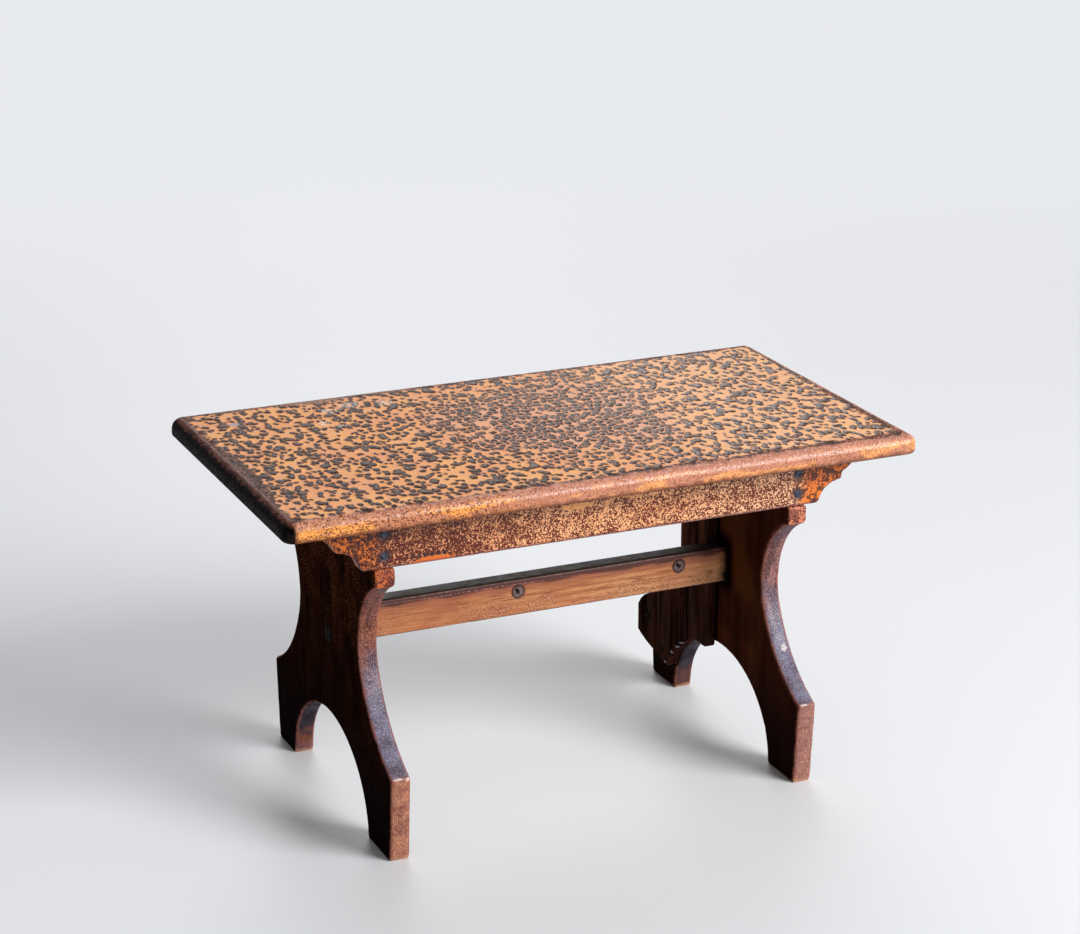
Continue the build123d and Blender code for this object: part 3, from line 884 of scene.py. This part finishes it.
def mending_finish():
    material, place = new_material("rough_stain")
    grain = use(wood_grain, place, Stretch=(1, 1, 0.04))
    high = ramp(parts(place)["Z"], 60, 150)
    drawn = place * (1, 1, 0.12)
    fibres = grain["Streaks"] * 0.3 + noise(drawn, 7, 4) * 0.7
    colour = tint(ramp(fibres, 0.4, 0.62), (60, 37, 31), (28, 16, 14))
    brown = ramp(noise(drawn, 12), 0.4, 0.62) * ramp(high, 0, 1, 0.2, 0.95)
    colour = tint(brown, colour, (106, 68, 52))
    crack = ramp(abs(noise(drawn, 12, 2) - 0.5), 0.012, 0.004) * ramp(noise(place, 22), 0.45, 0.6)
    colour = tint(crack * 0.9, colour, (3, 2, 2))
    wear = use(worn_arrises, place, Reach=0.3, Ragged=0.3)
    colour = tint(wear["Worn"] * 0.3, colour, (70, 44, 40))
    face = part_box("mending_board")[0].x / mm
    glints = spots(place, [((face, 64, 19.8), (3, 1.2, 1.5)), ((face, 53.8, 31.4), (3, 1, 1)),
                           ((face, 46.5, 37.2), (3, 2.6, 0.7)), ((face, 40, 42.2), (3, 2.8, 0.7))], 0.5)
    colour = tint(glints * 0.75, colour, (176, 172, 184))
    # darker in hollow corners: dirt and painted shade
    colour = tint(wear["Dirt"] * 0.8, colour, (5, 3, 3))
    return shaded(material, fibres, 0.3 * mm, Base_Color=colour,
                  Roughness=ramp(noise(place, 7, 4), 0.3, 0.7, 0.4, 0.62),
                  Coat_Weight=ramp(noise(drawn, 6, 4), 0.4, 0.7, 0, 0.04))


board = worked_board("mending_board", "mending_plank", 0.9 * mm, soften=0.5, swell=0.3, swell_size=25.0,
                     dents=0.5)
add_tree(board, ridges_tree())
taken_in(board)
finish_piece(board, "mending_board", mending_finish())


# Glue blocks
# Four softwood blocks rubbed into the corners under the seat, sawn and left bare.

def block_finish():
    material, place = new_material("bare_block")
    grain = use(wood_grain, place, Stretch=(0.05, 1, 1))
    colour = tint(ramp(grain["Streaks"], 0.3, 0.7), (176, 134, 94), (138, 96, 62))
    colour = tint(grain["Pores"] * 0.5, colour, (104, 70, 46))
    wear = use(worn_arrises, place, Reach=0.3, Ragged=0.3)
    colour = tint(wear["Worn"] * 0.5, colour, (110, 80, 56))
    return shaded(material, grain["Streaks"], 0.2 * mm, specular=0.3, Base_Color=colour,
                  Roughness=ramp(grain["Streaks"], 0, 1, 0.6, 0.8))


blocks = worked_board("glue_blocks", "rubbed_blocks", 0.9 * mm, soften=0.4, swell=0.2, swell_size=12.0,
                      dents=0.2)
finish_piece(blocks, "glue_blocks", block_finish())


# Nails, screws and plugs
# Forged nails through the aprons and the mending board, the point of one bent over and hammered
# flat, one slotted screw through each trestle, all gone blue-black, and plugs of grey filler.

def iron_finish():
    material, place = new_material("old_iron")
    colour = tint(ramp(noise(place, 1.6, 4), 0.35, 0.65), (36, 40, 52), (84, 94, 112))
    rust = ramp(noise(place, 2.4, 4), 0.55, 0.7)
    colour = tint(rust * 0.6, colour, (70, 42, 34))
    return shaded(material, noise(place, 0.9, 4), 0.2 * mm, specular=0.3, Base_Color=colour,
                  Roughness=ramp(rust, 0, 1, 0.45, 0.75), Metallic=0.2)


def varnished_iron_finish():
    """Iron that went in before the last coat, as black as the trestles."""
    material, place = new_material("varnished_iron")
    colour = tint(ramp(noise(place, 1.6, 4), 0.35, 0.65), (10, 7, 7), (38, 32, 31))
    return shaded(material, noise(place, 0.9, 4), 0.2 * mm, specular=0.02, Base_Color=colour,
                  Roughness=ramp(noise(place, 2.4, 4), 0.3, 0.7, 0.45, 0.7))


old_iron = iron_finish()
black_iron = varnished_iron_finish()


def nails_tree():
    """A nail at each point, along that point's way: a head of eight flats on a square, pointed shank."""
    takes = {"Geometry": "", "Head Radius": 2.9, "Head Thickness": 1.2, "Shank": 2.4, "Length": 32.0,
             "Hammered": 0.35, "Iron": None, "Seed": 5}
    tree, given, made = new_group("forged_nails", "GeometryNodeTree", takes, {"Geometry": ""})
    head = lay("GeometryNodeMeshCone", Vertices=8, Side_Segments=2, Fill_Segments=3,
               Radius_Bottom=given["Head Radius"] * (0.72 * mm), Radius_Top=given["Head Radius"] * mm,
               Depth=given["Head Thickness"] * mm, fill_type="TRIANGLE_FAN")
    corner = given["Shank"] * (mm / math.sqrt(2))
    point_length = given["Shank"] * (3 * mm)
    straight = given["Length"] * mm - point_length
    stem = lay("GeometryNodeMeshCone", Vertices=4, Radius_Bottom=corner, Radius_Top=corner, Depth=straight)
    point = lay("GeometryNodeMeshCone", Vertices=4, Radius_Bottom=corner, Radius_Top=corner * 0.2,
                Depth=point_length)
    point = lay("GeometryNodeTransform", point, Translation=lay("ShaderNodeCombineXYZ", Z=straight))
    nail = lay("GeometryNodeJoinGeometry", tree=tree)
    for shape in (head, stem, point):
        feed(nail.socket.node.inputs[0], shape)
    way = lay("GeometryNodeInputNamedAttribute", data_type="FLOAT_VECTOR", Name="way", tree=tree)
    turned = lay("FunctionNodeAlignRotationToVector", Vector=way, axis="Z")
    spin = lay("FunctionNodeRandomValue", data_type="FLOAT", Seed=given["Seed"], Max=math.pi)
    spin = lay("FunctionNodeEulerToRotation", lay("ShaderNodeCombineXYZ", Z=spin))
    turned = lay("FunctionNodeRotateRotation", turned, spin, rotation_space="LOCAL")
    nails = lay("GeometryNodeInstanceOnPoints", given["Geometry"], Instance=nail, Rotation=turned)
    nails = lay("GeometryNodeRealizeInstances", nails)
    place = millimetres(lay("GeometryNodeInputPosition", tree=tree))
    dent = lay("ShaderNodeTexNoise", Vector=place, Scale=0.55).out("Color") - (0.5, 0.5, 0.5)
    nails = lay("GeometryNodeSetPosition", nails, Offset=dent * (given["Hammered"] * mm))
    nails = lay("GeometryNodeSetMaterial", nails, Material=given["Iron"])
    feed(made["Geometry"], nails)
    return tree


def nail_points(node, name):
    """A point for each nail of a CAD node, at the middle of its head, with the way its shank runs."""
    source = closed_copy(node, name)
    work = bmesh.new()
    work.from_mesh(source.data)
    left = set(work.verts)
    nails = []
    while left:
        found, open_ends = [], [left.pop()]
        while open_ends:
            corner = open_ends.pop()
            found.append(corner.co[:])
            joined = {edge.other_vert(corner) for edge in corner.link_edges} & left
            left -= joined
            open_ends += joined
        nails.append(np.array(found))
    work.free()
    points = []
    for corners in nails:
        long_way = np.ptp(corners, axis=0).argmax()
        ends = [corners[abs(corners[:, long_way] - end) < mm / 10]
                for end in (corners[:, long_way].min(), corners[:, long_way].max())]
        tip, head = sorted(ends, key=lambda end: np.ptp(end, axis=0).max())
        tip, head = ((end.min(axis=0) + end.max(axis=0)) / 2 for end in (tip, head))
        way = (tip - head) / np.linalg.norm(tip - head)
        points.append(tuple(np.round(head, 6)) + tuple(np.round(way, 3)))
    points.sort()
    mesh = bpy.data.meshes.new(name)
    mesh.from_pydata([point[:3] for point in points], [], [])
    ways = mesh.attributes.new("way", "FLOAT_VECTOR", "POINT")
    ways.data.foreach_set("vector", [part for point in points for part in point[3:]])
    source.data = mesh
    return source


forged_nails = nails_tree()
for node, name, iron, sizes in (
        ("apron_nails", "apron_fixings", old_iron,
         {"head_radius": 2.9, "head_thickness": 1.2, "shank": 2.4, "length": 32.0}),
        ("mending_nails", "mending_fixings", black_iron,
         {"head_radius": 2.4, "head_thickness": 1.0, "shank": 2.0, "length": 17.0})):
    nails = nail_points(node, name)
    add_tree(nails, forged_nails, iron=iron, **sizes)
    taken_in(nails)
    nails.data.polygons.foreach_set("use_smooth", [False] * len(nails.data.polygons))
    finish_piece(nails, node, iron)


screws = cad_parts["stretcher_screws"]
screws.data.materials.clear()
screws.data.materials.append(black_iron)


def clinched_point():
    """The bent-over point of a nail, hammered flat on the mending board's face."""
    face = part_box("mending_board")[0].x / mm
    middle, along, width, thickness = (88.5, 45.3), (-0.89, 0.45), 1.9, 1.1
    stations = ((-6.2, 0.5, 0.0), (-5.2, 1.0, 0.2), (-1.0, 0.95, 0.1), (3.0, 0.7, -0.1), (6.0, 0.25, 0.0))
    work = bmesh.new()
    rings = []
    for reach, share, bow in stations:
        y = middle[0] + along[0] * reach - along[1] * bow
        z = middle[1] + along[1] * reach + along[0] * bow
        half = width / 2 * share
        corners = ((0.4, -half), (-thickness * share * 0.6, -half), (-thickness * share, 0.0),
                   (-thickness * share * 0.6, half), (0.4, half))
        rings.append([work.verts.new(Vector((face + out, y - along[1] * across, z + along[0] * across)) * mm)
                      for out, across in corners])
    for first, second in zip(rings, rings[1:]):
        for here in range(len(first)):
            after = (here + 1) % len(first)
            work.faces.new((first[here], first[after], second[after], second[here]))
    work.faces.new(rings[0])
    work.faces.new(rings[-1])
    bmesh.ops.recalc_face_normals(work, faces=work.faces)
    mesh = bpy.data.meshes.new("clinched_point")
    work.to_mesh(mesh)
    work.free()
    return mesh


bent = new_piece("clinched_nail_point", clinched_point())
bent.data.materials.append(black_iron)
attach(bent, "root")


def filler_finish():
    """Grey filler, with painted shadow where it meets the hole's wall and in its pit."""
    material, place = new_material("plug_filler")
    reach, radius = from_plug(parts(place))
    colour = tint(ramp(noise(place, 1.5, 4), 0.35, 0.65), (100, 80, 80), (136, 111, 107))
    rough_rim = (noise(place, 1.4, 4) - 0.5) * 2.6 + reach
    # painted shadow: a darker ring at the hole's wall, and near black in the pit
    colour = tint(ramp(rough_rim, radius - 1.4, radius), colour, (84, 62, 62))
    colour = tint(ramp(rough_rim, 1.5, 0.9), colour, (16, 10, 12))
    return shaded(material, noise(place, 1.2), 0.3 * mm, specular=0.3, Base_Color=colour, Roughness=0.6)


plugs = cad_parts["stretcher_plugs"]
plugs.data.materials.clear()
plugs.data.materials.append(filler_finish())


# Floor, light and camera
# A plain pale floor, one broad soft window high on the front right and a fill from the room,
# and the camera where the photograph was taken from.

def floor_finish():
    """Pale paint that takes the stool's shadow. Far off, the camera sees the even tone of the room."""
    material, place = new_material("pale_floor")
    tree = material.node_tree
    colour = tint(noise(place, 300), (229, 230, 232), (232, 233, 235))
    shaded(material, specular=0.3, Base_Color=colour, Roughness=0.5)
    away = ramp(length(place), 800, 1900)
    seen = away * lay("ShaderNodeLightPath", tree=tree).out("Is Camera Ray")
    painted = Value(tree.nodes["Principled BSDF"].outputs["BSDF"])
    glow = lay("ShaderNodeEmission", room_tone, 1, tree=tree)
    feed(tree.nodes["Material Output"].inputs["Surface"], lay("ShaderNodeMixShader", seen, painted, glow))
    return material


room_tone = paint(232, 234, 238)
floor_half = 6.0
floor_mesh = bpy.data.meshes.new("floor")
floor_mesh.from_pydata([(x * floor_half, y * floor_half, 0) for x, y in ((-1, -1), (1, -1), (1, 1), (-1, 1))],
                       [], [(0, 1, 2, 3)])
floor_mesh.materials.append(floor_finish())
new_piece("floor", floor_mesh)


def lamp(name, place, aim, size, power):
    light = bpy.data.lights.new(name, "AREA")
    light.shape = "DISK"
    light.size = size
    light.energy = power
    obj = new_piece(name, light)
    obj.location = place
    obj.rotation_mode = "QUATERNION"
    obj.rotation_quaternion = (Vector(aim) - Vector(place)).to_track_quat("-Z", "Y")


stool_middle = (0.0, 0.0, 0.12)
lamp("window", (1.35, -1.85, 1.4), stool_middle, 1.5, 74.0)
lamp("back_window", (0.6, 2.2, 1.5), stool_middle, 1.6, 20.0)

world = bpy.data.worlds.new("room")
bpy.context.scene.world = world
world.use_nodes = True
room = world.node_tree
background = room.nodes["Background"].inputs
path = outputs(lay("ShaderNodeLightPath", tree=room))
way = parts(lay("ShaderNodeTexCoord", tree=room).out("Generated"))
fill = ramp(way["X"], -0.9, 0.7, 0.14, 0.66)
wall = ramp(way["X"], -0.6, 0.5, 0.45, 1) * ramp(way["Y"], -0.4, 0.6, 0.3, 1)
seen = most(path["Is Camera Ray"], path["Is Glossy Ray"] * wall)
feed(background["Color"], room_tone)
feed(background["Strength"], most(seen, fill))

picture_width = 1080
focal_pixels = 2812.1
camera_turn, camera_height = math.radians(-23.86), math.radians(18.6)
camera_reach = 1.7024
camera_target = Vector((-0.0002, 0.0, 0.192))
back = Vector((math.sin(camera_turn) * math.cos(camera_height),
               -math.cos(camera_turn) * math.cos(camera_height), math.sin(camera_height)))
camera_data = bpy.data.cameras.new("camera")
camera_data.sensor_width = 36.0
camera_data.lens = focal_pixels / picture_width * camera_data.sensor_width
camera = new_piece("camera", camera_data)
camera.location = camera_target + back * camera_reach
camera.rotation_mode = "QUATERNION"
camera.rotation_quaternion = (-back).to_track_quat("-Z", "Y")
bpy.context.scene.camera = camera
bpy.context.scene.view_settings.view_transform = "Standard"
